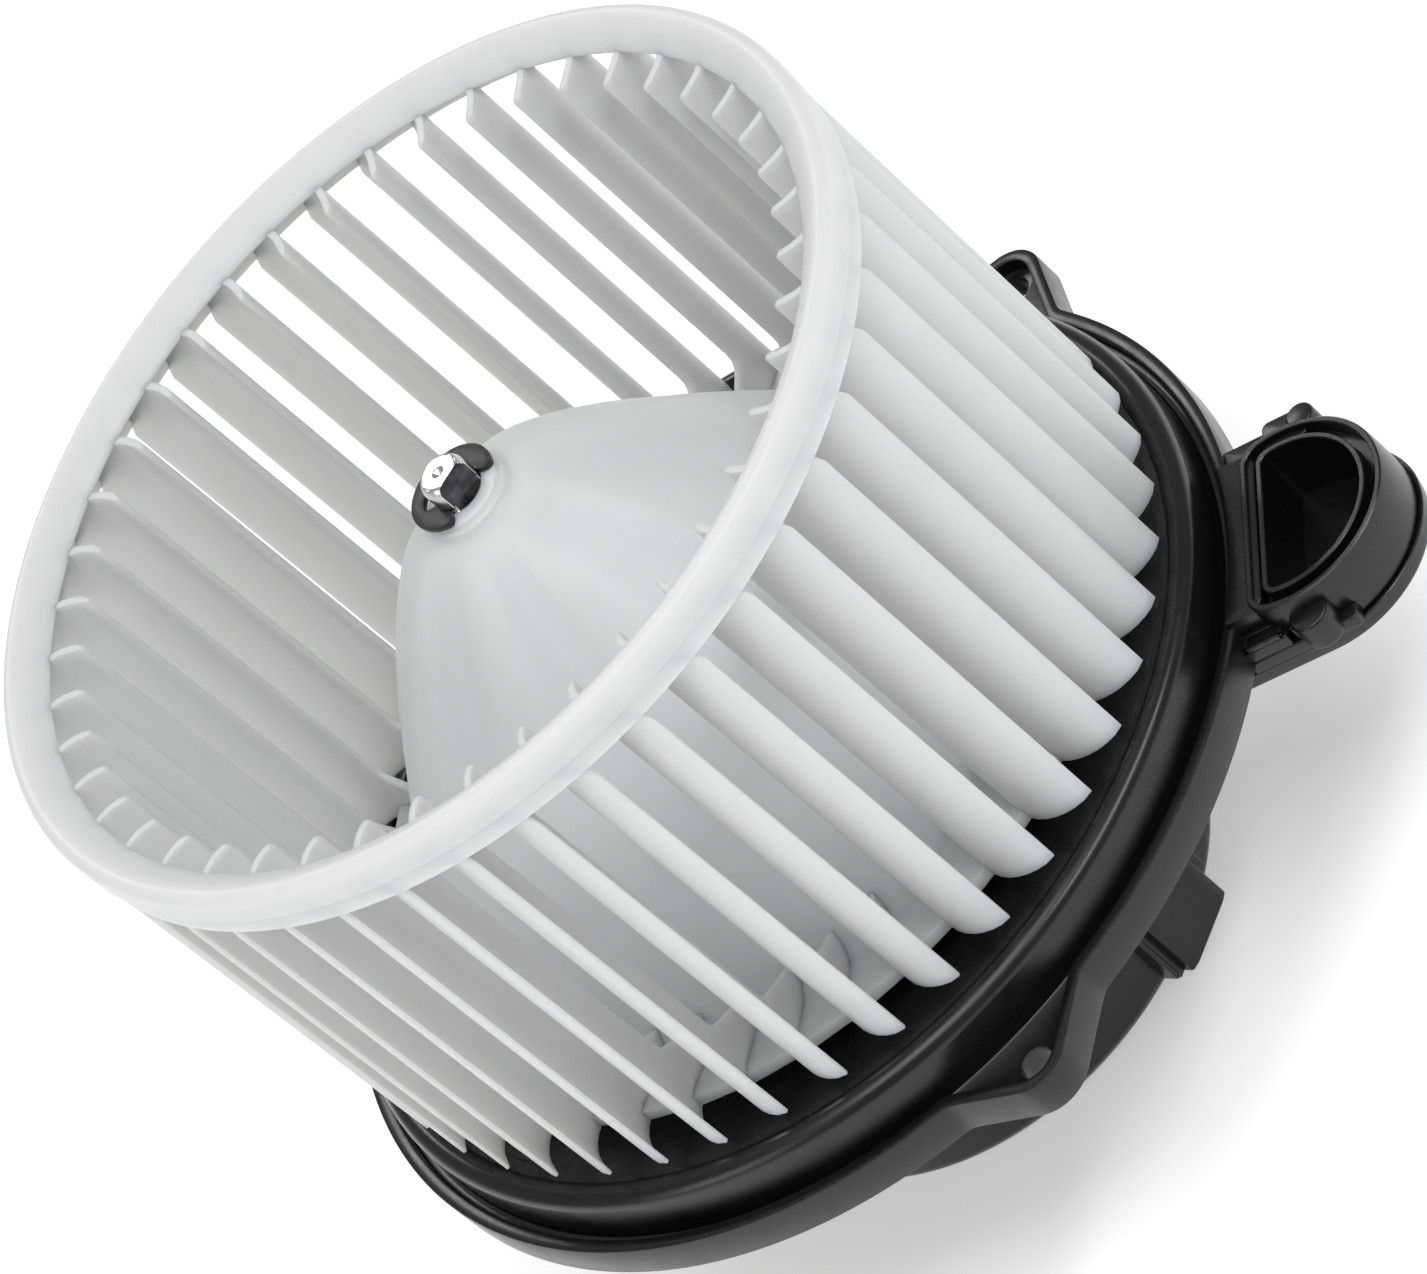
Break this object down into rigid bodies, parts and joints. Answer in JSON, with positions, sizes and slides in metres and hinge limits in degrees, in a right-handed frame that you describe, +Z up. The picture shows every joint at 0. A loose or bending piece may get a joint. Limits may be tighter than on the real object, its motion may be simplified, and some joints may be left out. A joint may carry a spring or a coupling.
{
  "type": "blower motor with fan wheel",
  "caption": "Squirrel-cage fan wheel on a brushed DC motor, in a round flanged housing with three screw ears and a D-shaped cooling-air port.",
  "frame": {"origin": "on the shaft axis, level with the seating face of the flange rim, in the middle of the three mounting screws", "axes": "+Z up the shaft to the open end of the wheel, +X to the D-shaped cooling-air port, screw ears at 60, 180 and 300 degrees from +X"},
  "size_m": [0.2063, 0.17, 0.1428],
  "materials": {
    "wheel_plastic": "natural white polypropylene, satin, slightly translucent",
    "black_plastic": "black glass-filled polypropylene, satin",
    "black_spring_steel": "black phosphated spring steel",
    "bright_steel": "bright turned and plated steel",
    "zinc_steel": "zinc plated",
    "can_steel": "zinc plated deep-drawn steel",
    "core_steel": "stacked steel laminations",
    "copper_wire": "enamelled copper wire",
    "copper_bars": "turned copper",
    "brass": "stamped brass",
    "bronze": "sintered bronze",
    "ferrite": "ground ferrite",
    "carbon": "carbon graphite",
    "black_rubber": "matt rubber",
    "felt": "oiled felt",
    "white_nylon": "nylon",
    "card_plastic": "phenolic board",
    "wire_plastic": "insulated wire"
  },
  "bodies": {
    "housing": {"flange_plate": "black_plastic", "motor_cover": "black_plastic", "connector_shell": "black_plastic", "connector_terminals": "brass", "cover_screws": "zinc_steel", "motor_can": "can_steel", "end_plate": "can_steel", "magnet_front": "ferrite", "magnet_back": "ferrite", "magnet_springs": "can_steel", "upper_bearing": "bronze", "lower_bearing": "bronze", "upper_bearing_retainer": "can_steel", "lower_bearing_retainer": "can_steel", "upper_oil_felt": "felt", "lower_oil_felt": "felt", "upper_isolator": "black_rubber", "lower_isolator": "black_rubber", "brush_card": "card_plastic", "brush_holders": "brass", "brush_spring_left": "can_steel", "brush_spring_right": "can_steel", "choke_coils": "copper_wire", "lead_wires": "wire_plastic"},
    "rotor": {"wheel_ring": "wheel_plastic", "wheel_blades": "wheel_plastic", "wheel_hub": "wheel_plastic", "spring_clip": "black_spring_steel", "shaft": "bright_steel", "slinger_washer": "black_rubber", "armature_core": "core_steel", "armature_windings": "copper_wire", "commutator": "copper_bars", "thrust_washers": "white_nylon"},
    "brush_left_body": {"brush_left": "carbon"},
    "brush_right_body": {"brush_right": "carbon"}
  },
  "joints": [
    {"name": "rotor_spin", "type": "hinge", "parent": "housing", "child": "rotor", "pos_m": [0, 0, 0], "axis": [0, 0, 1], "continuous": true},
    {"name": "brush_right_slide", "type": "slide", "parent": "housing", "child": "brush_right_body", "axis": [1, 0, 0], "range_m": [0, 0.004], "stiffness_N_per_m": 150, "springref_m": -0.012, "deforming": ["brush_spring_right"]},
    {"name": "brush_left_slide", "type": "slide", "parent": "housing", "child": "brush_left_body", "axis": [-1, 0, 0], "range_m": [0, 0.004], "stiffness_N_per_m": 150, "springref_m": -0.012, "deforming": ["brush_spring_left"]}
  ]
}
